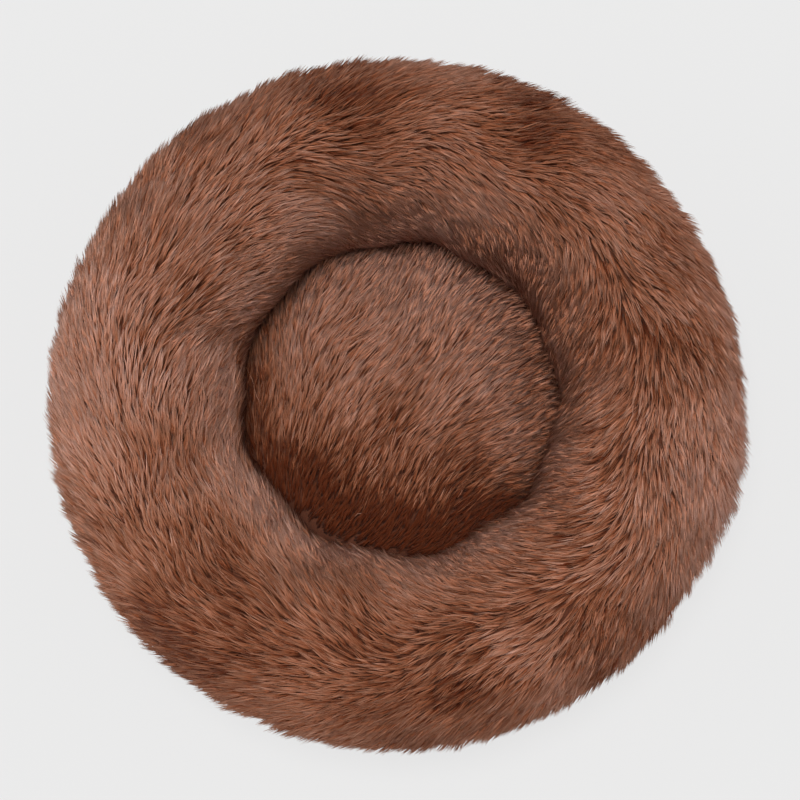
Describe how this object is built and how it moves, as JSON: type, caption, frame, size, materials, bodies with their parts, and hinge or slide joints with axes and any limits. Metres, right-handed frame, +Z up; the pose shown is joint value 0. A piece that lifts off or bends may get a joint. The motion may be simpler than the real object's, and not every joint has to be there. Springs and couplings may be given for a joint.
{
  "type": "pet bed",
  "caption": "Round long-plush pet bed: a stuffed bolster ring round a crowned pad, on a coated base with rubber studs and a zip in its rear seam",
  "frame": {"origin": "On the floor, under the middle of the bed's round outline", "axes": "+Z up, +Y towards the back, where the zip is, +X to the right as seen from the front"},
  "size_m": [0.4996, 0.4996, 0.17],
  "materials": {
    "plush": "long-pile plush, cocoa brown",
    "liner": "non-woven, off-white",
    "fibre_fill": "polyester fibre",
    "tape": "woven polyester tape",
    "base_cloth": "coated oxford cloth with rubber studs",
    "zip_metal": "bronze-brown lacquer"
  },
  "bodies": {
    "bed": {"bolster_cover": "plush", "bolster_liner": "liner", "bolster_fill": "fibre_fill", "pad_cover": "plush", "pad_liner": "liner", "pad_fill": "fibre_fill", "inner_seam_binding": "tape", "base_panel": "base_cloth", "base_interlining": "liner", "base_seam_tape": "tape", "zip_tape_lower": "tape", "zip_tape_upper": "tape", "zip_top_stop_lower": "zip_metal", "zip_top_stop_upper": "zip_metal", "zip_bottom_stop": "zip_metal"},
    "slider": {"zip_slider": "zip_metal"},
    "pull": {"zip_pull": "zip_metal"}
  },
  "joints": [
    {"name": "zip_run", "type": "hinge", "parent": "bed", "child": "slider", "pos_m": [0, 0, 0.016], "axis": [0, 0, 1], "range_deg": [0, 65.9], "deforming": ["zip_tape_lower", "zip_tape_upper"]},
    {"name": "pull_swing", "type": "hinge", "parent": "slider", "child": "pull", "pos_m": [0.11305, 0.17431, 0.016], "axis": [0, 0, -1], "range_deg": [0, 160]}
  ]
}
